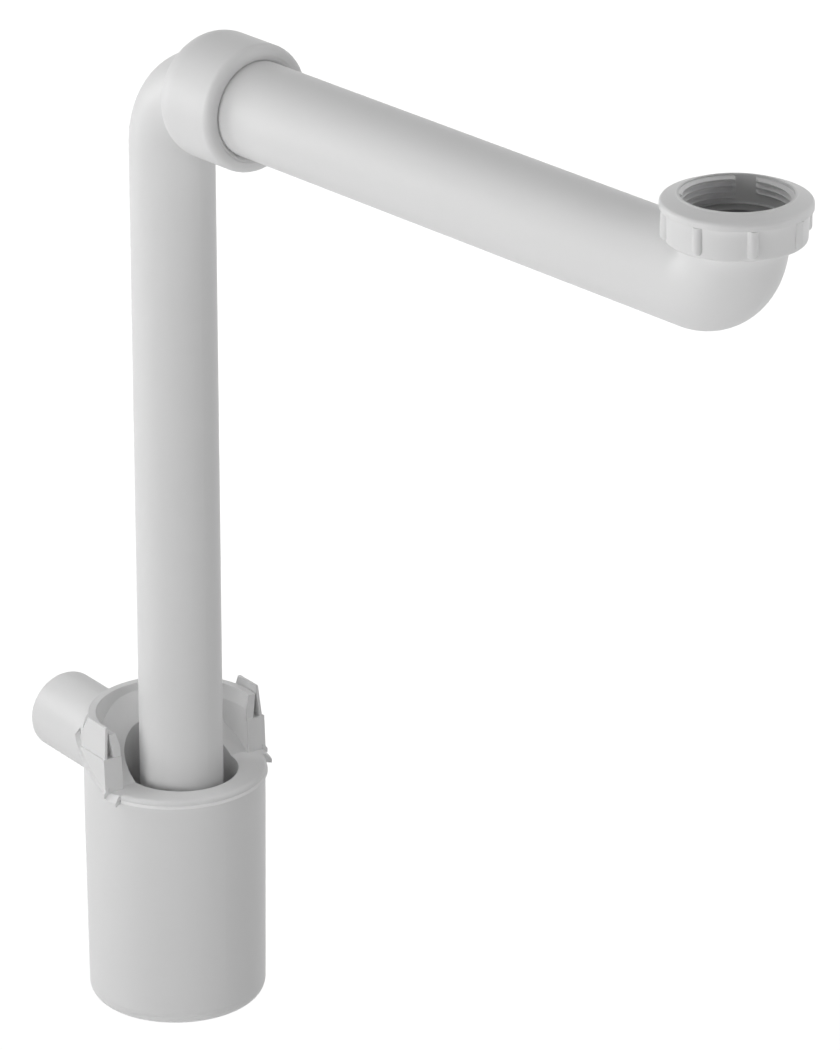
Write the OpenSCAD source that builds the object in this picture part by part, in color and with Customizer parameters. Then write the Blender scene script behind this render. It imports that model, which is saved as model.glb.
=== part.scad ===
// Space-saving washbasin trap: union nut, long horizontal inlet bend, telescopic
// dip tube and a snap-on trap cup with a side outlet.
// Origin: centre of the union nut's mouth. +Z up, +X from the dip tube to the nut.

/* [Washbasin connection] */
// Major diameter of the nut's inch and a quarter pipe thread
thread_d = 41.91; // [41.7:0.01:42.1]
// Diameter of the nut's top flange
nut_flange_d = 56.2; // [54:0.1:60]
// Height of the nut from its mouth to its lower face
nut_h = 17.4; // [16:0.1:17.4]
// Depth of the washer's top face below the mouth
seat_depth = 10.9; // [9:0.1:11.5]
// Number of grip ribs round the nut
rib_count = 8; // [4:1:12]
// Turn of the first grip rib about the nut's axis, in degrees
rib_turn = -30.8; // [-45:0.1:45]
// Inside diameter of the flat washer
washer_id = 26; // [22:0.5:30]
// Thickness of the flat washer
washer_t = 2.6; // [2:0.1:2.8]

/* [Inlet bend] */
// Distance from the dip tube's axis to the nut's axis
arm_reach = 323; // [200:1:360]
// Depth of the horizontal arm's axis below the nut's mouth
arm_drop = 37.3; // [37:0.1:45]
// Outside diameter of the horizontal arm
arm_d = 38.8; // [38:0.1:39]
// Wall of the horizontal arm
arm_wall = 2; // [1.5:0.1:2.5]
// Outside diameter of the neck that passes through the nut
neck_d = 35; // [33:0.1:35.2]
// Inside diameter of the neck
neck_id = 30.6; // [26:0.1:31]
// Distance from the dip tube's axis to the arm's open end
arm_end = 31; // [30.5:0.5:38]

/* [Dip tube] */
// Outside diameter of the dip tube
dip_d = 34.6; // [33:0.1:35]
// Wall of the dip tube
dip_wall = 1.8; // [1.5:0.1:2.5]
// Centreline radius of the dip tube's bend
dip_bend_r = 28; // [24:0.5:30]
// Outside diameter of the socket that takes the arm
socket_d = 52; // [49:0.5:54]
// Distance from the dip tube's axis to the socket's face
socket_reach = 54; // [52:0.5:58]
// Rounding of the socket's back edge
socket_back_r = 12; // [8:0.5:13]
// Diameter of the recess round the arm in the socket's mouth
recess_d = 43; // [42:0.1:44]
// Depth of the dip tube's lower end below the arm's axis
dip_len = 392; // [360:1:396]

/* [Trap head] */
// Turn of the trap head about the dip tube, in degrees
head_turn = 5.74; // [-90:0.01:90]
// Distance from the dip tube's axis back to the cup's axis
cup_back = 5.3; // [4:0.1:6]
// Outside diameter of the cup at its rim
cup_d = 75.2; // [75:0.1:77]
// Outside diameter of the cup above its base
cup_base_d = 73.6; // [72:0.1:75]
// Depth of the cup's base below the arm's axis
cup_depth = 404.2; // [402:0.1:420]
// Rounding of the cup's base edge
cup_base_r = 6; // [3:0.5:8]
// Wall of the cup
cup_wall = 2; // [1.8:0.1:2.2]
// Outside diameter of the outlet spigot
outlet_d = 33.8; // [32:0.1:34.6]
// Depth of the outlet's axis below the arm's axis
outlet_drop = 306.4; // [305:0.1:312]
// Distance from the dip tube's axis to the outlet's end
outlet_reach = 90; // [80:1:120]

/* [Trap cover] */
// Depth of the dish rim's top below the arm's axis
rim_top = 275.7; // [275:0.1:277]
// Outside diameter of the dish rim's flared top
rim_d = 72.8; // [71:0.1:73]
// Inside diameter of the dish
dish_d = 63; // [61:0.1:63.6]
// Distance from the dip tube's axis back to the dish rim's axis
rim_back = 3.3; // [3:0.1:4]
// Depth of the front ledge below the arm's axis
ledge_depth = 300.5; // [300:0.1:301]
// Depth of the dish floor at the back of the rim
dish_back_depth = 279.3; // [279:0.1:281]
// Diameter of the opening round the dip tube
well_d = 47; // [46:0.1:47.4]
// Outside diameter of the front lip
lip_d = 76.2; // [75.8:0.1:78]
// Depth of the lip's lower edge at the front
lip_front = 303.6; // [303:0.1:304]
// Depth of the cover's lower edge at the back
lip_back = 283.2; // [282:0.1:285]
// Depth of the clips' top edge
clip_top = 272.4; // [271:0.1:274]
// Half width across the clips' blocks
clip_half_w = 39.6; // [39:0.1:40]
// Half width across the grip beads along the clips' lower edge
bead_half_w = 40.4; // [40.2:0.1:43]
// Depth of the grip beads' front end
bead_front = 304.8; // [304:0.1:306]

/* [Hidden] */
$fn = 96;
// Clearance of a fit that turns or slides on a seal
fit = 0.05;
// Gap between parts that move past each other
gap = 0.3;
// Anything wider or taller than the trap, for trimming
far = 200;

thread_r = thread_d / 2;
flange_r = nut_flange_d / 2;
nut_body_r = flange_r - 1.6;
nut_step_r = thread_r - 1.355;
rib_r = 2;
// The nut's coned top: its slope runs from the mouth's lip to the flange's rounded edge
nut_lip_r = thread_r + 1.2;
nut_lip_z = -0.3;
nut_edge_z = -2.45;
nut_edge_round = 1.6;
nut_taper = 0.4;
nut_foot_round = 1.2;
nut_slope = atan2(nut_lip_z - nut_edge_z, flange_r - nut_lip_r);
arm_r = arm_d / 2;
neck_r = neck_d / 2;
nut_web = 1.6;
bend_flange_z = -seat_depth - washer_t;
bend_flange_t = nut_h - nut_web - gap - seat_depth - washer_t;
shoulder_z = -arm_drop + arm_r + 0.2;
elbow_r = arm_drop + shoulder_z;
shoulder_t = 2;
dip_r = dip_d / 2;
dip_bore_r = dip_r - dip_wall;
recess_r = recess_d / 2;
recess_l = 14;
seal_l = 6;
seal_inset = 7;
arm_bore_r = arm_r + 0.35;
arm_stop = 29;
cup_r = cup_d / 2;
cup_base_outer_r = cup_base_d / 2;
outlet_r = outlet_d / 2;
outlet_wall = 2.2;
// Where the outlet's slightly thicker root ends, from the dip tube's axis
outlet_root = cup_back + cup_r + 3.1;
rim_r = rim_d / 2;
dish_r = dish_d / 2;
// The rim's outside below its flare, and its wall at the flared top
rim_foot_r = dish_r + 3.3;
rim_lip_t = 3.2;
rim_flare_l = 6;
well_r = well_d / 2;
sleeve_wall = 2.1;
sleeve_end = 328;
seal_seat = 326;
lip_r = lip_d / 2;
lip_t = lip_front - ledge_depth;
plug_r = cup_r - cup_wall - 2;
plug_wall = 1.7;
plug_l = 6;
// Local x of the cover's front face: at the top, above and below the clips' step, at the seam
front_top = 1.2;
front_step = 2.2;
front_block = 2.7;
front_foot = 3.7;
// Depth of the step where the thin clip plates stand on their blocks
clip_step = 286;
clip_plate = 1.2;
clip_plate_half_w = clip_half_w - 0.8;
clip_lean = 5;
clip_rear_top = -12;
// Ends of the swept edge in local x, and the angle of the grip beads' front ends
sweep_front = 9.5;
sweep_back = -17.6;
bead_angle = 69;
bead_h = 2.6;
floor_t = 2.6;
flange_t = 1.3;

white = [0.86, 0.86, 0.85];
seal_grey = [0.45, 0.45, 0.45];

// What lies outside a quarter circle in a square corner, to round an edge
module corner_cut(r) {
    difference() {
        square(r + 1);
        circle(r);
    }
}

// What lies outside a circle between 0 degrees and the given angle, to round a blunt edge
module edge_cut(r, angle) {
    difference() {
        polygon([[0, 0], [2 * r, 0], [2 * r, 2 * r], 2 * r * [cos(angle), sin(angle)]]);
        circle(r);
    }
}

// A quarter of a ring tube in the XZ plane, from +X round to +Z
module quarter_bend(bend_r, tube_r) {
    rotate([90, 0, 0])
        rotate_extrude(angle = 90)
            translate([bend_r, 0])
                circle(tube_r);
}

// A cylinder along +X from x0 to x1
module rod_x(x0, x1, r) {
    translate([x0, 0, 0])
        rotate([0, 90, 0])
            cylinder(h = x1 - x0, r = r);
}

// An outline in x and z, extruded across y
module across(y0, y1) {
    translate([0, y1, 0])
        rotate([90, 0, 0])
            linear_extrude(y1 - y0)
                children();
}

// The dip tube's frame: its axis, at the height of the arm's axis
module at_dip_tube() {
    translate([-arm_reach, 0, -arm_drop])
        children();
}

// The trap head's frame, turned about the dip tube, with the outlet towards -X
module at_head() {
    at_dip_tube()
        rotate([0, 0, -head_turn])
            children();
}

// Height of the swept lower edge over x: up from the grip beads' front end to the rear
function sweep(x) =
    let (t = min(1, max(0, (sweep_front - x) / (sweep_front - sweep_back))))
    -bead_front + (bead_front - lip_back) * (0.42 * t + 0.58 * (1 - sqrt(1 - t * t)));
// The swept edge as points from the front to the rear, moved by dz
function sweep_points(dz) = [
    for (i = [0:12])
        let (x = sweep_front + (sweep_back - sweep_front) * sin(90 * i / 12))
        [x, sweep(x) + dz]
];
// The seam between cover and cup: the swept edge, no lower than the front lip
function seam_line(dz) = concat(
    [[far, -lip_front + dz]],
    [for (p = sweep_points(0)) [p[0], max(p[1], -lip_front) + dz]],
    [[-far, -lip_back + dz]]
);
function reversed(list) = [for (i = [len(list) - 1:-1:0]) list[i]];
// Everything between two offsets of the seam
module seam_band(low, high) {
    across(-far, far)
        polygon(concat(seam_line(low), reversed(seam_line(high))));
}
// Everything above the seam
module above_seam(dz) {
    across(-far, far)
        polygon(concat(seam_line(dz), [[-far, 0], [far, 0]]));
}

// The dish floor's line: sloping down to the front, then the level ledge
ledge_start = 1.5;
dish_slope = (ledge_depth - dish_back_depth) / (ledge_start + rim_back + dish_r);
function floor_line(dz) = [
    [far, -ledge_depth + dz],
    [ledge_start, -ledge_depth + dz],
    [-far, -ledge_depth + dish_slope * (ledge_start + far) + dz]
];

module nut_rib() {
    rib_foot = -nut_h + rib_r + 1.2;
    translate([flange_r - rib_r, 0, rib_foot]) {
        sphere(rib_r);
        cylinder(h = -5.3 - rib_foot, r = rib_r);
    }
}

// Union nut: coned top with a rounded lip, flange and ribbed, tapering body
module union_nut() {
    color(white) {
        rotate_extrude()
            difference() {
                polygon([
                    [neck_r + 0.4, -nut_h],
                    [nut_body_r - nut_taper, -nut_h],
                    [nut_body_r, -5.4],
                    [flange_r, -5.1],
                    [flange_r, nut_edge_z],
                    [nut_lip_r, nut_lip_z],
                    [nut_lip_r - 0.3, 0],
                    [thread_r, 0],
                    [thread_r, -seat_depth],
                    [nut_step_r, -seat_depth],
                    [nut_step_r, -nut_h + nut_web],
                    [neck_r + 0.4, -nut_h + nut_web]
                ]);
                translate([nut_body_r - nut_taper + 0.04 - nut_foot_round, -nut_h + nut_foot_round])
                    mirror([0, 1])
                        corner_cut(nut_foot_round);
                translate([
                    flange_r - nut_edge_round,
                    nut_edge_z + nut_edge_round * (tan(nut_slope) - 1 / cos(nut_slope))
                ])
                    edge_cut(nut_edge_round, 90 - nut_slope);
            }
        for (i = [0:rib_count - 1])
            rotate([0, 0, rib_turn + i * 360 / rib_count])
                nut_rib();
    }
}

// Flat washer that seals the washbasin's outlet against the inlet bend
module inlet_washer() {
    washer_r = nut_step_r - 0.35;
    color(seal_grey)
        rotate_extrude()
            polygon([
                [washer_id / 2, bend_flange_z + 0.3],
                [washer_id / 2 + 0.3, bend_flange_z],
                [washer_r - 0.3, bend_flange_z],
                [washer_r, bend_flange_z + 0.3],
                [washer_r, -seat_depth - 0.3],
                [washer_r - 0.3, -seat_depth],
                [washer_id / 2 + 0.3, -seat_depth],
                [washer_id / 2, -seat_depth - 0.3]
            ]);
}

// The elbow's quarter tube, from the shoulder down to the arm's axis
module elbow(r) {
    translate([-elbow_r, 0, shoulder_z])
        mirror([0, 0, 1])
            quarter_bend(elbow_r, r);
}

// Inlet bend: flange and neck in the nut, tight elbow and long arm, one moulding
module inlet_bend() {
    color(white)
        difference() {
            union() {
                translate([0, 0, bend_flange_z - bend_flange_t])
                    cylinder(h = bend_flange_t, r = nut_step_r - 0.5);
                translate([0, 0, shoulder_z - 0.5])
                    cylinder(h = bend_flange_z - shoulder_z + 0.5, r = neck_r);
                elbow(arm_r);
                translate([0, 0, -arm_drop])
                    rod_x(-arm_reach + arm_end, -elbow_r, arm_r);
            }
            translate([0, 0, shoulder_z - shoulder_t - 1])
                cylinder(h = far, r = neck_id / 2);
            intersection() {
                elbow(arm_r - arm_wall);
                translate([-far, -far, -far])
                    cube([2 * far, 2 * far, far + shoulder_z - shoulder_t]);
            }
            translate([0, 0, -arm_drop])
                rod_x(-arm_reach + arm_end - 1, -elbow_r, arm_r - arm_wall);
        }
}

// Lip seal round the arm, in the socket's recess
module socket_seal() {
    at_dip_tube()
        color(seal_grey)
            translate([socket_reach - seal_inset - seal_l, 0, 0])
                rotate([0, 90, 0])
                    rotate_extrude()
                        difference() {
                            translate([arm_r + fit, 0])
                                square([recess_r - arm_r - 2 * fit, seal_l]);
                            translate([(arm_r + recess_r) / 2, seal_l])
                                circle(0.5);
                        }
}

// Outline of the socket over the tube's axis: rounded back and front edges
module socket_outline() {
    back = socket_reach - 36;
    difference() {
        translate([0, back])
            square([socket_d / 2, socket_reach - back]);
        translate([socket_d / 2 - 3, socket_reach - 3])
            corner_cut(3);
        translate([socket_d / 2 - socket_back_r, back + socket_back_r])
            mirror([0, 1])
                corner_cut(socket_back_r);
    }
}

// The dip tube's bend at the top
module dip_bend(r) {
    translate([dip_bend_r, 0, -dip_bend_r])
        mirror([1, 0, 0])
            quarter_bend(dip_bend_r, r);
}

// Dip tube: socket, tight bend and the long pipe that reaches into the cup
module dip_tube() {
    at_dip_tube()
        color(white)
            difference() {
                union() {
                    rotate([0, 90, 0])
                        rotate_extrude()
                            socket_outline();
                    dip_bend(dip_r);
                    translate([0, 0, -dip_len])
                        cylinder(h = dip_len - dip_bend_r, r = dip_r);
                }
                rod_x(dip_bend_r, socket_reach, dip_bore_r);
                rod_x(arm_stop, socket_reach + 1, arm_bore_r);
                rod_x(socket_reach - recess_l, socket_reach + 1, recess_r);
                dip_bend(dip_bore_r);
                translate([0, 0, -dip_len - 1])
                    cylinder(h = dip_len + 1 - dip_bend_r, r = dip_bore_r);
            }
}

// Cup-section lip seal between the dip tube and the cover's sleeve
module dip_seal() {
    inner = dip_r + fit;
    outer = well_r - fit;
    at_head()
        color(seal_grey)
            rotate_extrude()
                difference() {
                    translate([inner, -seal_seat])
                        square([outer - inner, 8]);
                    translate([inner + 1.6, -seal_seat + 2])
                        square([outer - inner - 3.2, 10]);
                }
}

// One clip: a thin plate leaning inwards on a block, both cut off at the seam
module clip() {
    intersection() {
        above_seam(0);
        union() {
            intersection() {
                translate([0, clip_plate_half_w, -clip_step])
                    rotate([clip_lean, 0, 0])
                        translate([-far, -clip_plate, -1])
                            cube([2 * far, clip_plate, far]);
                across(0, far)
                    polygon([
                        [front_step, -lip_front],
                        [front_step, -clip_step],
                        [front_top, -clip_top],
                        [clip_rear_top, -clip_top],
                        [sweep_back, -lip_back],
                        [sweep_back, -lip_front]
                    ]);
            }
            across(rim_foot_r - 6, clip_half_w)
                polygon([
                    [front_foot, -lip_front],
                    [front_block, -clip_step],
                    [sweep_back, -clip_step],
                    [sweep_back, -lip_front]
                ]);
        }
    }
}

// Grip bead along one clip's lower edge, bevelled above, ending beside the front lip
module grip_bead() {
    bead_r = norm([front_foot + cup_back, bead_half_w]);
    apron_r = cup_r + gap;
    below = -3 * far;
    // along the clip: the swept edge carried outwards and down at 45 degrees
    intersection() {
        across(apron_r, bead_half_w)
            polygon(concat(
                [[front_foot, sweep(front_foot)]],
                [for (p = sweep_points(0)) if (p[0] < front_foot - 1) p],
                [[sweep_back, -clip_top], [front_foot, -clip_top]]
            ));
        rotate([-45, 0, 0])
            across(0, 2 * far)
                polygon(concat(
                    [for (p = sweep_points(bead_h)) [p[0], cos(45) * (p[1] + clip_half_w)]],
                    [[sweep_back, below], [sweep_front, below]]
                ));
    }
    // in front of the clip: round the cup to the bead's end
    intersection() {
        translate([-cup_back, 0, 0])
            rotate([0, 0, bead_angle])
                rotate_extrude(angle = 90 - bead_angle)
                    polygon([
                        [lip_r - lip_t, -ledge_depth],
                        [bead_r - bead_h, -ledge_depth],
                        [bead_r, -ledge_depth - bead_h],
                        [bead_r, -bead_front],
                        [apron_r, -bead_front],
                        [apron_r, -lip_front],
                        [lip_r - lip_t, -lip_front]
                    ]);
        across(0, far)
            polygon([
                [front_foot, sweep(front_foot)],
                [sweep_front, -bead_front],
                [2 * sweep_front, -bead_front],
                [2 * sweep_front, 0],
                [front_foot, 0]
            ]);
    }
}

// Dish rim: upright wall, flared at its top, open at the front
module dish_rim() {
    intersection() {
        translate([-rim_back, 0, 0])
            rotate_extrude()
                polygon([
                    [dish_r, -lip_front],
                    [rim_foot_r, -lip_front],
                    [rim_foot_r, -clip_step],
                    [rim_r, -rim_top],
                    [rim_r - rim_lip_t, -rim_top],
                    [dish_r, -rim_top - rim_flare_l]
                ]);
        above_seam(0);
        across(-far, far)
            polygon([
                [front_step, -lip_front],
                [front_step, -clip_step],
                [front_top, -clip_top],
                [-far, -clip_top],
                [-far, -lip_front]
            ]);
    }
}

// Trap cover: dish, rim, clips with grip beads, front lip, plug and the dip tube's sleeve
module trap_cover() {
    at_head()
        color(white)
            difference() {
                union() {
                    // dish floor and front ledge
                    intersection() {
                        across(-far, far)
                            polygon(concat(floor_line(-floor_t), reversed(floor_line(0))));
                        translate([-cup_back, 0, -far - 150])
                            cylinder(h = far, r = plug_r - plug_wall / 2);
                    }
                    // front lip with a full round edge
                    intersection() {
                        above_seam(0);
                        translate([-cup_back, 0, -lip_front])
                            rotate_extrude()
                                translate([well_r, 0])
                                    union() {
                                        square([lip_r - well_r - lip_t / 2, lip_t]);
                                        translate([lip_r - well_r - lip_t / 2, lip_t / 2])
                                            circle(lip_t / 2);
                                    }
                        translate([front_foot - 1.5, -far, -far * 2])
                            cube(2 * far);
                    }
                    // thin flange on the cup's rim, behind the clips
                    intersection() {
                        seam_band(0, flange_t);
                        translate([-cup_back, 0, -far - 150])
                            difference() {
                                cylinder(h = far, r = cup_r - 0.4);
                                translate([0, 0, -1])
                                    cylinder(h = far + 2, r = plug_r - plug_wall);
                            }
                        translate([-2 * far, -far, -2 * far])
                            cube(2 * far);
                    }
                    dish_rim();
                    difference() {
                        union() {
                            clip();
                            mirror([0, 1, 0])
                                clip();
                        }
                        translate([-rim_back, 0, -far - 150])
                            cylinder(h = far, r = dish_r);
                    }
                    grip_bead();
                    mirror([0, 1, 0])
                        grip_bead();
                    // plug that enters the cup
                    intersection() {
                        seam_band(-plug_l, 1);
                        translate([-cup_back, 0, -far - 150])
                            difference() {
                                cylinder(h = far, r = plug_r);
                                translate([0, 0, -1])
                                    cylinder(h = far + 2, r = plug_r - plug_wall);
                            }
                    }
                    // sleeve round the dip tube, below the dish floor
                    intersection() {
                        translate([0, 0, -sleeve_end])
                            cylinder(h = far, r = well_r + sleeve_wall);
                        across(-far, far)
                            polygon(concat(floor_line(-1), [[-far, -far * 2], [far, -far * 2]]));
                    }
                }
                translate([0, 0, -seal_seat])
                    cylinder(h = far, r = well_r);
                translate([0, 0, -sleeve_end - 1])
                    cylinder(h = far, r = dip_r + 0.7);
            }
}

// Gasket between the cover's plug and the cup, along the swept edge
module cover_seal() {
    at_head()
        color(seal_grey)
            intersection() {
                seam_band(-4, -1);
                translate([-cup_back, 0, -far - 150])
                    difference() {
                        cylinder(h = far, r = cup_r - cup_wall - 0.08);
                        translate([0, 0, -1])
                            cylinder(h = far + 2, r = plug_r + fit);
                    }
            }
}

// Trap body: the cup and its side outlet, one moulding with a swept rim
module trap_body() {
    straight = -315;
    inner_r = cup_r - cup_wall;
    at_head()
        color(white)
            difference() {
                union() {
                    translate([-cup_back, 0, 0])
                        rotate_extrude()
                            difference() {
                                polygon([
                                    [0, -cup_depth],
                                    [cup_base_outer_r, -cup_depth],
                                    [cup_r, straight],
                                    [cup_r, -lip_back],
                                    [0, -lip_back]
                                ]);
                                translate([cup_base_outer_r - cup_base_r, -cup_depth + cup_base_r])
                                    mirror([0, 1])
                                        corner_cut(cup_base_r);
                            }
                    translate([0, 0, -outlet_drop]) {
                        rod_x(-outlet_root, -cup_back, outlet_r + 0.3);
                        rotate([0, -90, 0])
                            rotate_extrude()
                                difference() {
                                    square([outlet_r, outlet_reach]);
                                    translate([outlet_r - 0.8, outlet_reach - 0.8])
                                        corner_cut(0.8);
                                }
                    }
                }
                translate([-cup_back, 0, 0])
                    rotate_extrude()
                        difference() {
                            polygon([
                                [0, -cup_depth + cup_wall + 0.5],
                                [cup_base_outer_r - cup_wall, -cup_depth + cup_wall + 0.5],
                                [inner_r, straight],
                                [inner_r, -lip_back + 1],
                                [0, -lip_back + 1]
                            ]);
                            translate([cup_base_outer_r - cup_wall - 4, -cup_depth + cup_wall + 4.5])
                                mirror([0, 1])
                                    corner_cut(4);
                        }
                translate([0, 0, -outlet_drop])
                    rod_x(-outlet_reach - 1, -cup_back, outlet_r - outlet_wall);
                above_seam(-gap);
            }
}

union_nut();
inlet_washer();
inlet_bend();
socket_seal();
dip_tube();
dip_seal();
trap_cover();
cover_seal();
trap_body();
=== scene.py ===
import math

import bmesh
import bpy
from bpy.props import FloatProperty, FloatVectorProperty, IntProperty, PointerProperty
from mathutils import Matrix, Vector


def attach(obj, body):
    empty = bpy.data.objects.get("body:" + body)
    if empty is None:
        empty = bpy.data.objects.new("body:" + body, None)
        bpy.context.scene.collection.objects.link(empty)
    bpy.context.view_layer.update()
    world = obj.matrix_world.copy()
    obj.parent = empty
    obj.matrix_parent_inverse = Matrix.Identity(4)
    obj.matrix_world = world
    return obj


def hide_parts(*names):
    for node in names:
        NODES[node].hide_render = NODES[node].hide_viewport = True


bl_info = {
    "name": "Washbasin Trap",
    "version": (1, 0, 0),
    "blender": (4, 5, 0),
    "location": "3D View > Sidebar > Trap",
    "description": "Dresses a space-saving washbasin trap and sets up its studio",
    "category": "Object",
}

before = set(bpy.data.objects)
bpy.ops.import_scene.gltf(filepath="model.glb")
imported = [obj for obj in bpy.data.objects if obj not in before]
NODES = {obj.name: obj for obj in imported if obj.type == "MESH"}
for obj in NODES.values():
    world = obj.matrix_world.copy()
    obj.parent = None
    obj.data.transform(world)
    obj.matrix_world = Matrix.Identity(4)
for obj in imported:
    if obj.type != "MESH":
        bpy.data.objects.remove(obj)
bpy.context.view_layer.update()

PLASTIC_NODES = ("union_nut", "inlet_bend", "dip_tube", "trap_cover", "trap_body")
GREY_RUBBER_NODES = ("inlet_washer", "dip_seal")


# Sizes and colours


class ThreadSizes(bpy.types.PropertyGroup):
    root_radius: FloatProperty(
        name="Root Radius", description="Radius of the nut's bore, where the ridges stand",
        default=0.020955, unit="LENGTH")
    crest_radius: FloatProperty(
        name="Crest Radius", description="Inner radius of the thread's ridges",
        default=0.019475, unit="LENGTH")
    pitch: FloatProperty(
        name="Pitch", description="Rise of the thread in one turn",
        default=0.002309, unit="LENGTH")
    mouth_gap: FloatProperty(
        name="Mouth Gap", description="Depth of the first ridge below the nut's mouth",
        default=0.0013, unit="LENGTH")
    gap_angle: FloatProperty(
        name="Gap Angle", description="Angle of each axial gap in the thread",
        default=math.radians(20), subtype="ANGLE")
    gap_turn: FloatProperty(
        name="Gap Turn", description="Turn of the first axial gap about the nut's axis",
        default=math.radians(127), subtype="ANGLE")
    lead_angle: FloatProperty(
        name="Lead Angle", description="Angle of the first stretch of ridge, down to the first axial gap",
        default=math.radians(92), subtype="ANGLE")
    stretch_count: IntProperty(
        name="Stretch Count", description="Number of half-turn stretches below the first one",
        default=6, min=1, max=12)


class SealSizes(bpy.types.PropertyGroup):
    arm_axis: FloatVectorProperty(
        name="Arm Axis", description="Where the arm's axis meets the dip tube's", subtype="TRANSLATION",
        size=3, default=(-0.323, 0.0, -0.0373), unit="LENGTH")
    socket_face: FloatProperty(
        name="Socket Face", description="Distance from the dip tube's axis to the socket's face",
        default=0.054, unit="LENGTH")
    bore: FloatProperty(
        name="Seal Bore", description="Inner radius of the socket seal, just over the arm's",
        default=0.01945, unit="LENGTH")
    outside: FloatProperty(
        name="Seal Outside", description="Outer radius of the socket seal, just under the recess's",
        default=0.02145, unit="LENGTH")
    cup_axis: FloatVectorProperty(
        name="Cup Axis", description="Where the cup's axis meets the cover's lower edge",
        subtype="TRANSLATION", size=3, default=(-0.328273, 0.00053, -0.3409), unit="LENGTH")
    cup_radius: FloatProperty(
        name="Cup Radius", description="Outer radius of the cup", default=0.0376, unit="LENGTH")
    lip_round: FloatProperty(
        name="Lip Round", description="Radius of the cover lip's round edge", default=0.00155, unit="LENGTH")
    lip_middle: FloatProperty(
        name="Lip Middle", description="Distance from the cup's axis to the middle of the lip's round edge",
        default=0.03655, unit="LENGTH")
    flange_turn: FloatProperty(
        name="Flange Turn", description="Direction in which the gasket's flange is seen",
        default=math.radians(-5.74), subtype="ANGLE")
    flange_angle: FloatProperty(
        name="Flange Angle", description="Angle of the gasket's flange between the grip beads",
        default=math.radians(137), subtype="ANGLE")


class FinishLooks(bpy.types.PropertyGroup):
    plastic: FloatVectorProperty(
        name="Plastic", description="Colour of the moulded plastic", subtype="COLOR",
        size=3, default=(0.8, 0.8, 0.8), min=0.0, max=1.0)
    plastic_roughness: FloatProperty(
        name="Plastic Roughness", description="Roughness of the satin plastic",
        default=0.42, min=0.0, max=1.0, subtype="FACTOR")
    rubber: FloatVectorProperty(
        name="Rubber", description="Colour of the washer and the dip tube's seal", subtype="COLOR",
        size=3, default=(0.22, 0.22, 0.22), min=0.0, max=1.0)
    pale_rubber: FloatVectorProperty(
        name="Pale Rubber", description="Colour of the socket's seal", subtype="COLOR",
        size=3, default=(0.78, 0.78, 0.78), min=0.0, max=1.0)
    # Gasket colour is whiter than the plastic: partly the gasket's own pale colour, partly a painted highlight
    # along the lit lower edge of the cover's lip.
    gasket: FloatVectorProperty(
        name="Gasket", description="Colour of the gasket between cover and cup", subtype="COLOR",
        size=3, default=(0.92, 0.92, 0.92), min=0.0, max=1.0)
    rubber_roughness: FloatProperty(
        name="Rubber Roughness", description="Roughness of the seals",
        default=0.65, min=0.0, max=1.0, subtype="FACTOR")


class StudioSetup(bpy.types.PropertyGroup):
    camera_place: FloatVectorProperty(
        name="Camera Place", description="Where the camera stands", subtype="TRANSLATION",
        size=3, default=(1.57984, -1.52914, 0.77556), unit="LENGTH")
    camera_turn: FloatVectorProperty(
        name="Camera Turn", description="How the camera is turned", subtype="EULER",
        size=3, default=(math.radians(67.61), 0.0, math.radians(48.9)))
    camera_lens: FloatProperty(
        name="Lens", description="Focal length over a 24 mm tall frame",
        default=148.11, min=10.0, max=500.0)
    floor_drop: FloatProperty(
        name="Floor Drop", description="Height of the floor below the nut's mouth",
        default=0.62, unit="LENGTH")
    shade_kept: FloatProperty(
        name="Shade Kept", description="Share of the floor's own light and shade that is seen",
        default=0.15, min=0.0, max=1.0, subtype="FACTOR")
    floor_white: FloatProperty(
        name="Floor White", description="Strength of the white that the floor shows",
        default=1.1, min=0.0)
    left: FloatProperty(
        name="Left", description="Power of the high lamp behind and to the left", default=5.6, min=0.0)
    back: FloatProperty(
        name="Back", description="Power of the high lamp behind and to the right", default=6.8, min=0.0)
    top: FloatProperty(
        name="Top", description="Power of the lamp overhead", default=4.3, min=0.0)
    side: FloatProperty(
        name="Side", description="Power of the lamp beside the arm", default=3.0, min=0.0)
    arm: FloatProperty(
        name="Arm", description="Power of the lamp low in front of the elbow", default=2.1, min=0.0)
    head: FloatProperty(
        name="Head", description="Power of the small lamp at the left of the tube", default=1.8, min=0.0)
    nut: FloatProperty(
        name="Nut", description="Power of the small lamp in front of the nut", default=0.48, min=0.0)
    elbow: FloatProperty(
        name="Elbow", description="Power of the small lamp at the right of the elbow", default=1.04, min=0.0)
    room: FloatProperty(
        name="Room", description="Strength of the room's light", default=0.02, min=0.0)


# Meshes


def piece_from(mesh_name, bm, body):
    """A finished piece from a bmesh, riding on a body."""
    mesh = bpy.data.meshes.new(mesh_name)
    bm.to_mesh(mesh)
    bm.free()
    piece = bpy.data.objects.new(mesh_name, mesh)
    bpy.context.scene.collection.objects.link(piece)
    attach(piece, body)
    return piece


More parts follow.
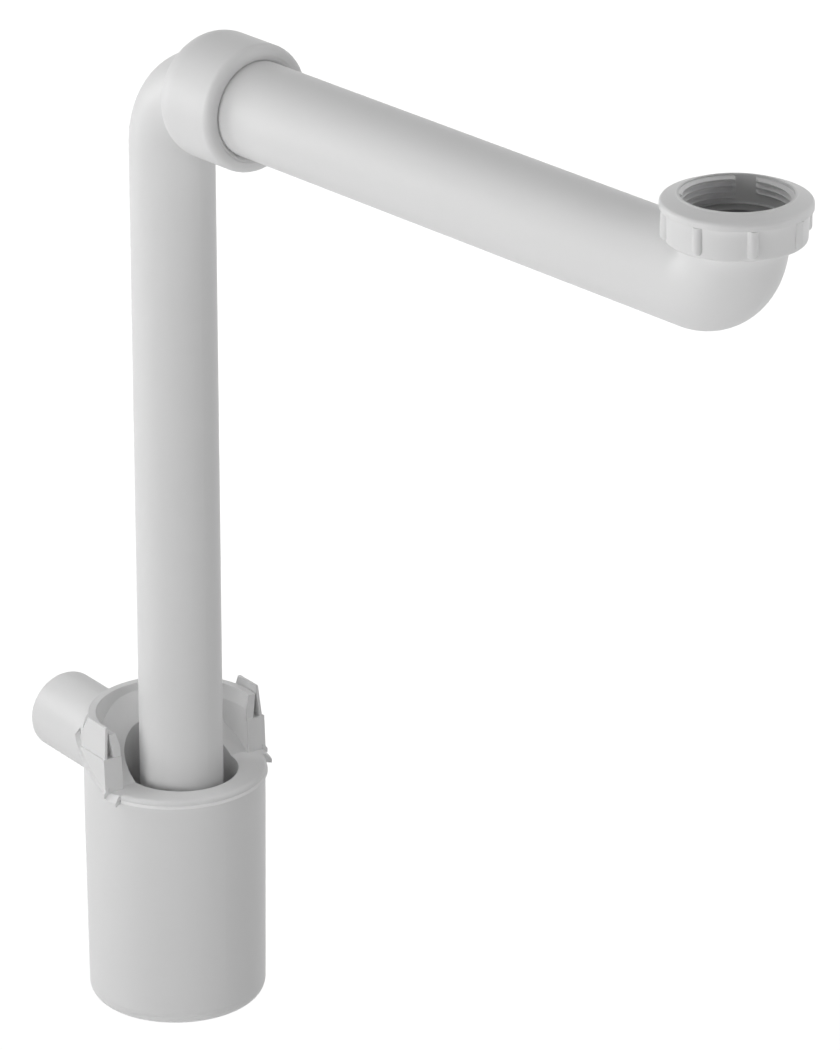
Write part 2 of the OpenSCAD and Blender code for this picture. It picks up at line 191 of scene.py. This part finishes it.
def add_ridge(bm, sizes, start, sweep_angle, top, steps):
    """One stretch of right-hand ridge, turning down from one axial gap to the next."""
    depth = sizes.root_radius - sizes.crest_radius
    half = sizes.pitch / 2
    profile = (
        (sizes.root_radius + 0.0001, half * 0.96),
        (sizes.crest_radius + depth * 0.12, half * 0.16),
        (sizes.crest_radius, 0.0),
        (sizes.crest_radius + depth * 0.12, -half * 0.16),
        (sizes.root_radius + 0.0001, -half * 0.96),
    )
    spin_start = Matrix.Rotation(start, 4, "Z")
    corners = [bm.verts.new(spin_start @ Vector((r, 0.0, top + z))) for r, z in profile]
    cap = bm.faces.new(corners)
    made = bmesh.ops.spin(
        bm, geom=[cap], cent=(0.0, 0.0, 0.0), axis=(0.0, 0.0, 1.0),
        dvec=(0.0, 0.0, -sizes.pitch * sweep_angle / math.tau / steps),
        angle=-sweep_angle, steps=steps, use_merge=False, use_duplicate=False)
    ends = [corners, list({v for g in made["geom_last"] if isinstance(g, bmesh.types.BMFace) for v in g.verts})]
    for end in ends:
        for v in end:
            flat = Vector((v.co.x, v.co.y, 0.0))
            out = flat.normalized() * (sizes.root_radius + 0.0001)
            v.co.x, v.co.y = flat.lerp(out, 0.75).xy


def turned(corners, centre, axis, angle, steps):
    """A bmesh of a closed outline swept about an axis, capped unless it goes all the way round."""
    full = angle > math.tau - 0.001
    bm = bmesh.new()
    outline = [bm.verts.new(corner) for corner in corners]
    if full:
        geom = [bm.edges.new((outline[i - 1], outline[i])) for i in range(len(outline))] + outline
    else:
        geom = [bm.faces.new(outline)]
    bmesh.ops.spin(
        bm, geom=geom, cent=centre, axis=axis, dvec=(0.0, 0.0, 0.0), angle=angle, steps=steps,
        use_merge=full, use_duplicate=False)
    bmesh.ops.recalc_face_normals(bm, faces=bm.faces)
    return bm


# Materials


def new_group(group_name, sockets_in, sockets_out):
    """An empty shader node group with named sockets."""
    group = bpy.data.node_groups.new(group_name, "ShaderNodeTree")
    for socket_name, kind, value in sockets_in:
        socket = group.interface.new_socket(name=socket_name, in_out="INPUT", socket_type=kind)
        if value is not None:
            socket.default_value = value
    for socket_name, kind in sockets_out:
        group.interface.new_socket(name=socket_name, in_out="OUTPUT", socket_type=kind)
    return group


def moulded_surface_group():
    """Slow tone drift, fine grain and a faint waviness, as on an injection moulding."""
    group = new_group(
        "Moulded Surface",
        (("Colour", "NodeSocketColor", (0.8, 0.8, 0.8, 1.0)),
         ("Drift", "NodeSocketFloat", 0.03),
         ("Roughness", "NodeSocketFloat", 0.4),
         ("Grain", "NodeSocketFloat", 0.1),
         ("Edge", "NodeSocketFloat", 0.0003)),
        (("Colour", "NodeSocketColor"),
         ("Roughness", "NodeSocketFloat"),
         ("Normal", "NodeSocketVector")))
    nodes, links = group.nodes, group.links
    entry = nodes.new("NodeGroupInput")
    leave = nodes.new("NodeGroupOutput")
    place = nodes.new("ShaderNodeTexCoord")

    drift = nodes.new("ShaderNodeTexNoise")
    drift.inputs["Scale"].default_value = 22.0
    drift.inputs["Detail"].default_value = 3.0
    links.new(place.outputs["Object"], drift.inputs["Vector"])
    centred = nodes.new("ShaderNodeMath")
    centred.operation = "SUBTRACT"
    centred.inputs[1].default_value = 0.5
    links.new(drift.outputs["Fac"], centred.inputs[0])
    amount = nodes.new("ShaderNodeMath")
    amount.operation = "MULTIPLY"
    links.new(centred.outputs[0], amount.inputs[0])
    links.new(entry.outputs["Drift"], amount.inputs[1])
    lift = nodes.new("ShaderNodeMath")
    lift.operation = "ADD"
    lift.inputs[1].default_value = 1.0
    links.new(amount.outputs[0], lift.inputs[0])
    tone = nodes.new("ShaderNodeVectorMath")
    tone.operation = "SCALE"
    links.new(entry.outputs["Colour"], tone.inputs[0])
    links.new(lift.outputs[0], tone.inputs["Scale"])
    links.new(tone.outputs["Vector"], leave.inputs["Colour"])

    speckle = nodes.new("ShaderNodeTexNoise")
    speckle.inputs["Scale"].default_value = 900.0
    speckle.inputs["Detail"].default_value = 2.0
    links.new(place.outputs["Object"], speckle.inputs["Vector"])
    spread = nodes.new("ShaderNodeMapRange")
    spread.inputs["From Min"].default_value = 0.3
    spread.inputs["From Max"].default_value = 0.7
    spread.inputs["To Min"].default_value = -0.05
    spread.inputs["To Max"].default_value = 0.05
    links.new(speckle.outputs["Fac"], spread.inputs["Value"])
    rough = nodes.new("ShaderNodeMath")
    rough.operation = "ADD"
    links.new(entry.outputs["Roughness"], rough.inputs[0])
    links.new(spread.outputs["Result"], rough.inputs[1])
    links.new(rough.outputs[0], leave.inputs["Roughness"])

    waves = nodes.new("ShaderNodeTexNoise")
    waves.inputs["Scale"].default_value = 60.0
    waves.inputs["Detail"].default_value = 1.0
    links.new(place.outputs["Object"], waves.inputs["Vector"])
    height = nodes.new("ShaderNodeMath")
    height.operation = "MULTIPLY_ADD"
    height.inputs[1].default_value = 0.25
    links.new(speckle.outputs["Fac"], height.inputs[0])
    links.new(waves.outputs["Fac"], height.inputs[2])
    soft_edge = nodes.new("ShaderNodeBevel")
    soft_edge.samples = 8
    links.new(entry.outputs["Edge"], soft_edge.inputs["Radius"])
    bump = nodes.new("ShaderNodeBump")
    links.new(soft_edge.outputs["Normal"], bump.inputs["Normal"])
    bump.inputs["Distance"].default_value = 0.0002
    links.new(entry.outputs["Grain"], bump.inputs["Strength"])
    links.new(height.outputs[0], bump.inputs["Height"])
    links.new(bump.outputs["Normal"], leave.inputs["Normal"])
    return group


def moulded_material(material_name, group, colour, drift, roughness, grain, edge, sheen_level):
    """A Principled finish on the moulded surface group."""
    material = bpy.data.materials.new(material_name)
    material.use_nodes = True
    nodes, links = material.node_tree.nodes, material.node_tree.links
    shader = nodes["Principled BSDF"]
    surface = nodes.new("ShaderNodeGroup")
    surface.node_tree = group
    surface.inputs["Colour"].default_value = (*colour, 1.0)
    surface.inputs["Drift"].default_value = drift
    surface.inputs["Roughness"].default_value = roughness
    surface.inputs["Grain"].default_value = grain
    surface.inputs["Edge"].default_value = edge
    links.new(surface.outputs["Colour"], shader.inputs["Base Color"])
    links.new(surface.outputs["Roughness"], shader.inputs["Roughness"])
    links.new(surface.outputs["Normal"], shader.inputs["Normal"])
    shader.inputs["Specular IOR Level"].default_value = sheen_level
    return material


def seen_mask(nodes, links):
    """One for what the eye, a gloss or a clear surface sees, none for plain light."""
    path = nodes.new("ShaderNodeLightPath")
    either = nodes.new("ShaderNodeMath")
    either.operation = "MAXIMUM"
    links.new(path.outputs["Is Camera Ray"], either.inputs[0])
    links.new(path.outputs["Is Glossy Ray"], either.inputs[1])
    every = nodes.new("ShaderNodeMath")
    every.operation = "MAXIMUM"
    links.new(either.outputs[0], every.inputs[0])
    links.new(path.outputs["Is Transmission Ray"], every.inputs[1])
    return every.outputs[0]


def backdrop_material(material_name, middle, shade_kept, white_strength):
    """Pale matt floor that shows white to the eye and keeps a soft shadow round its middle."""
    material = bpy.data.materials.new(material_name)
    material.use_nodes = True
    nodes, links = material.node_tree.nodes, material.node_tree.links
    nodes.remove(nodes["Principled BSDF"])
    matt = nodes.new("ShaderNodeBsdfDiffuse")
    matt.inputs["Color"].default_value = (0.9, 0.9, 0.9, 1.0)
    white = nodes.new("ShaderNodeEmission")
    white.inputs["Strength"].default_value = white_strength
    place = nodes.new("ShaderNodeTexCoord")
    away = nodes.new("ShaderNodeVectorMath")
    away.operation = "DISTANCE"
    away.inputs[1].default_value = middle
    links.new(place.outputs["Object"], away.inputs[0])
    fade = nodes.new("ShaderNodeMapRange")
    fade.interpolation_type = "SMOOTHSTEP"
    fade.inputs["From Min"].default_value = 0.3
    fade.inputs["From Max"].default_value = 0.8
    fade.inputs["To Min"].default_value = 1.0 - shade_kept
    fade.inputs["To Max"].default_value = 1.0
    links.new(away.outputs["Value"], fade.inputs["Value"])
    share = nodes.new("ShaderNodeMath")
    share.operation = "MULTIPLY"
    links.new(seen_mask(nodes, links), share.inputs[0])
    links.new(fade.outputs["Result"], share.inputs[1])
    mix = nodes.new("ShaderNodeMixShader")
    links.new(share.outputs[0], mix.inputs["Fac"])
    links.new(matt.outputs["BSDF"], mix.inputs[1])
    links.new(white.outputs["Emission"], mix.inputs[2])
    links.new(mix.outputs["Shader"], nodes["Material Output"].inputs["Surface"])
    return material


def paint(piece, material):
    """Puts one material in each of a piece's slots."""
    slots = piece.data.materials
    if not slots:
        slots.append(material)
    for i in range(len(slots)):
        slots[i] = material


# Operators


class TRAP_OT_thread(bpy.types.Operator):
    """Make the interrupted thread ridges in the union nut"""

    bl_idname = "trap.thread"
    bl_label = "Nut Thread"
    bl_options = {"REGISTER", "UNDO"}

    def execute(self, context):
        sizes = context.scene.trap_thread
        bm = bmesh.new()
        first = sizes.gap_turn + sizes.gap_angle / 2 + sizes.lead_angle
        stretches = [(0.0, sizes.lead_angle)]
        for i in range(sizes.stretch_count):
            stretches.append((
                sizes.lead_angle + sizes.gap_angle + i * math.pi, math.pi - sizes.gap_angle))
        for turned, stretch in stretches:
            top = -sizes.mouth_gap - sizes.pitch * turned / math.tau
            add_ridge(bm, sizes, first - turned, stretch, top, 40)
        bmesh.ops.recalc_face_normals(bm, faces=bm.faces)
        for face in bm.faces:
            face.smooth = False
        piece_from("nut_thread", bm, "nut")
        return {"FINISHED"}


class TRAP_OT_socket_seal(bpy.types.Operator):
    """Make the socket's lip seal, whose nose shows round the arm"""

    bl_idname = "trap.socket_seal"
    bl_label = "Socket Seal"
    bl_options = {"REGISTER", "UNDO"}

    def execute(self, context):
        sizes = context.scene.trap_seals
        axis_place = Vector(sizes.arm_axis)
        nose = sizes.socket_face - 0.0001
        outline = (
            (nose - 0.0129, sizes.bore),
            (nose - 0.0129, sizes.outside),
            (nose - 0.0001, sizes.outside),
            (nose, sizes.outside - 0.0001),
            (nose, sizes.bore + 0.0015),
            (nose - 0.0001, sizes.bore + 0.0012),
            (nose - 0.0005, sizes.bore + 0.0008),
            (nose - 0.0010, sizes.bore + 0.0006),
            (nose - 0.0013, sizes.bore),
        )
        bm = turned(
            [axis_place + Vector((x, 0.0, r)) for x, r in outline],
            axis_place, (1.0, 0.0, 0.0), math.tau, 96)
        piece = piece_from("socket_lip_seal", bm, "socket_ring")
        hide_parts("socket_seal")
        return {"FINISHED"}


class TRAP_OT_gasket_flange(bpy.types.Operator):
    """Make the thin flange of the cover's gasket, seen between the front lip and the cup"""

    bl_idname = "trap.gasket_flange"
    bl_label = "Gasket Flange"
    bl_options = {"REGISTER", "UNDO"}

    def execute(self, context):
        sizes = context.scene.trap_seals
        centre = Vector(sizes.cup_axis)
        clearance, inner = 0.00002, sizes.cup_radius - 0.0018
        lip_edge = sizes.lip_middle + sizes.lip_round
        outline = [
            (inner, -0.00026), (lip_edge + 0.0004, -0.00026), (lip_edge + 0.0005, -0.00016),
            (lip_edge + 0.0005, 0.0001)]
        for share in (0.93, 0.8, 0.6, 0.4, 0.2, 0.0):
            out = sizes.lip_round * share
            rise = sizes.lip_round - math.sqrt(sizes.lip_round ** 2 - out ** 2)
            outline.append((sizes.lip_middle + out, rise - clearance))
        outline.append((inner, -clearance))
        start = Matrix.Rotation(sizes.flange_turn - sizes.flange_angle / 2, 4, "Z")
        bm = turned(
            [centre + start @ Vector((r, 0.0, z)) for r, z in outline],
            centre, (0.0, 0.0, 1.0), sizes.flange_angle, 64)
        piece_from("gasket_flange", bm, "cover")
        return {"FINISHED"}


class TRAP_OT_finish(bpy.types.Operator):
    """Give every moulding and seal its material"""

    bl_idname = "trap.finish"
    bl_label = "Finishes"
    bl_options = {"REGISTER", "UNDO"}

    def execute(self, context):
        looks = context.scene.trap_finish
        group = moulded_surface_group()
        plastic = moulded_material(
            "White Satin Plastic", group, looks.plastic, 0.03, looks.plastic_roughness, 0.12, 0.0004, 0.4)
        rubber = moulded_material(
            "Grey Seal Rubber", group, looks.rubber, 0.08, looks.rubber_roughness, 0.3, 0.0002, 0.35)
        pale = moulded_material(
            "Pale Seal Rubber", group, looks.pale_rubber, 0.05, looks.rubber_roughness, 0.2, 0.0001, 0.35)
        # Whiter than the plastic so that the flange shows as a bright band under the lip: partly the gasket's
        # pale colour, partly painted highlight.
        gasket = moulded_material(
            "Gasket Rubber With Painted Highlight", group, looks.gasket, 0.03, looks.rubber_roughness, 0.2, 0.0001, 0.35)
        for node_name in PLASTIC_NODES:
            paint(NODES[node_name], plastic)
        for node_name in GREY_RUBBER_NODES:
            paint(NODES[node_name], rubber)
        paint(bpy.data.objects["nut_thread"], plastic)
        for seal in (NODES["socket_seal"], bpy.data.objects["socket_lip_seal"]):
            paint(seal, pale)
        for seal in (NODES["cover_seal"], bpy.data.objects["gasket_flange"]):
            paint(seal, gasket)
        return {"FINISHED"}


class TRAP_OT_studio(bpy.types.Operator):
    """Set up the camera, the lamps, the room's light and the pale floor"""

    bl_idname = "trap.studio"
    bl_label = "Studio"
    bl_options = {"REGISTER", "UNDO"}

    def execute(self, context):
        studio = context.scene.trap_studio
        scene = context.scene
        scene.view_settings.view_transform = "Standard"
        self.camera(scene, studio)
        self.floor(scene, studio)
        self.lamps(scene, studio)
        self.room(scene, studio)
        return {"FINISHED"}

    def camera(self, scene, studio):
        lens = bpy.data.cameras.new("Camera")
        lens.sensor_fit = "VERTICAL"
        lens.sensor_height = 24.0
        lens.lens = studio.camera_lens
        lens.clip_end = 50.0
        camera = bpy.data.objects.new("Camera", lens)
        camera.location = studio.camera_place
        camera.rotation_euler = studio.camera_turn
        scene.collection.objects.link(camera)
        scene.camera = camera

    def floor(self, scene, studio):
        bm = bmesh.new()
        bmesh.ops.create_grid(bm, x_segments=1, y_segments=1, size=6.0)
        bmesh.ops.translate(bm, verts=bm.verts, vec=(0.0, 0.0, -studio.floor_drop))
        mesh = bpy.data.meshes.new("Floor")
        bm.to_mesh(mesh)
        bm.free()
        floor = bpy.data.objects.new("Floor", mesh)
        scene.collection.objects.link(floor)
        below = (-0.2, 0.0, -studio.floor_drop)
        paint(floor, backdrop_material("Pale Floor", below, studio.shade_kept, studio.floor_white))

    def lamp(self, scene, lamp_name, place, target, size, power):
        light = bpy.data.lights.new(lamp_name, "AREA")
        light.shape = "RECTANGLE"
        light.size, light.size_y = size
        light.energy = power
        lamp = bpy.data.objects.new(lamp_name, light)
        lamp.location = place
        lamp.rotation_euler = (Vector(target) - Vector(place)).to_track_quat("-Z", "Y").to_euler()
        scene.collection.objects.link(lamp)

    def lamps(self, scene, studio):
        middle, nut, arm = (-0.16, 0.0, -0.22), (0.0, 0.0, -0.03), (0.0, 0.0, -0.05)
        self.lamp(scene, "Left Lamp", (-1.189, -0.864, 1.124), middle, (1.0, 1.0), studio.left)
        self.lamp(scene, "Back Lamp", (0.073, 1.323, 1.124), middle, (1.0, 1.0), studio.back)
        self.lamp(scene, "Top Lamp", (-0.16, 0.0, 1.5), middle, (1.2, 1.2), studio.top)
        self.lamp(scene, "Side Lamp", (-0.2, -1.05, -0.05), (-0.15, 0.0, -0.05), (0.5, 0.5), studio.side)
        self.lamp(scene, "Arm Lamp", (0.2, -0.95, -0.18), arm, (0.5, 0.5), studio.arm)
        self.lamp(scene, "Head Lamp", (-0.9, -0.4, 0.0), (-0.3, 0.0, -0.1), (0.4, 0.4), studio.head)
        self.lamp(scene, "Nut Lamp", (0.45, -0.25, 0.0), nut, (0.3, 0.4), studio.nut)
        self.lamp(scene, "Elbow Lamp", (0.45, 0.35, 0.0), nut, (0.3, 0.4), studio.elbow)

    def room(self, scene, studio):
        world = bpy.data.worlds.new("Room")
        world.use_nodes = True
        nodes, links = world.node_tree.nodes, world.node_tree.links
        soft = nodes["Background"]
        soft.inputs["Color"].default_value = (1.0, 1.0, 1.0, 1.0)
        soft.inputs["Strength"].default_value = studio.room
        white = nodes.new("ShaderNodeBackground")
        white.inputs["Color"].default_value = (1.0, 1.0, 1.0, 1.0)
        white.inputs["Strength"].default_value = 1.0
        mix = nodes.new("ShaderNodeMixShader")
        links.new(seen_mask(nodes, links), mix.inputs["Fac"])
        links.new(soft.outputs["Background"], mix.inputs[1])
        links.new(white.outputs["Background"], mix.inputs[2])
        links.new(mix.outputs["Shader"], nodes["World Output"].inputs["Surface"])
        scene.world = world


class TRAP_PT_panel(bpy.types.Panel):
    """Buttons for the trap's pieces and studio"""

    bl_label = "Washbasin Trap"
    bl_idname = "TRAP_PT_panel"
    bl_space_type = "VIEW_3D"
    bl_region_type = "UI"
    bl_category = "Trap"

    def draw(self, context):
        layout = self.layout
        for step in STEPS:
            layout.operator(step.bl_idname)
        scene = context.scene
        for settings in (scene.trap_thread, scene.trap_seals, scene.trap_finish, scene.trap_studio):
            box = layout.box()
            for key in settings.__annotations__:
                box.prop(settings, key)


STEPS = (
    TRAP_OT_thread, TRAP_OT_socket_seal, TRAP_OT_gasket_flange, TRAP_OT_finish, TRAP_OT_studio)
CLASSES = (ThreadSizes, SealSizes, FinishLooks, StudioSetup, *STEPS, TRAP_PT_panel)


def register():
    for cls in CLASSES:
        bpy.utils.register_class(cls)
    bpy.types.Scene.trap_thread = PointerProperty(type=ThreadSizes)
    bpy.types.Scene.trap_seals = PointerProperty(type=SealSizes)
    bpy.types.Scene.trap_finish = PointerProperty(type=FinishLooks)
    bpy.types.Scene.trap_studio = PointerProperty(type=StudioSetup)


def unregister():
    del bpy.types.Scene.trap_studio
    del bpy.types.Scene.trap_finish
    del bpy.types.Scene.trap_seals
    del bpy.types.Scene.trap_thread
    for cls in reversed(CLASSES):
        bpy.utils.unregister_class(cls)


def main():
    register()
    bpy.ops.trap.thread()
    bpy.ops.trap.socket_seal()
    bpy.ops.trap.gasket_flange()
    bpy.ops.trap.finish()
    bpy.ops.trap.studio()


if __name__ == "__main__":
    main()
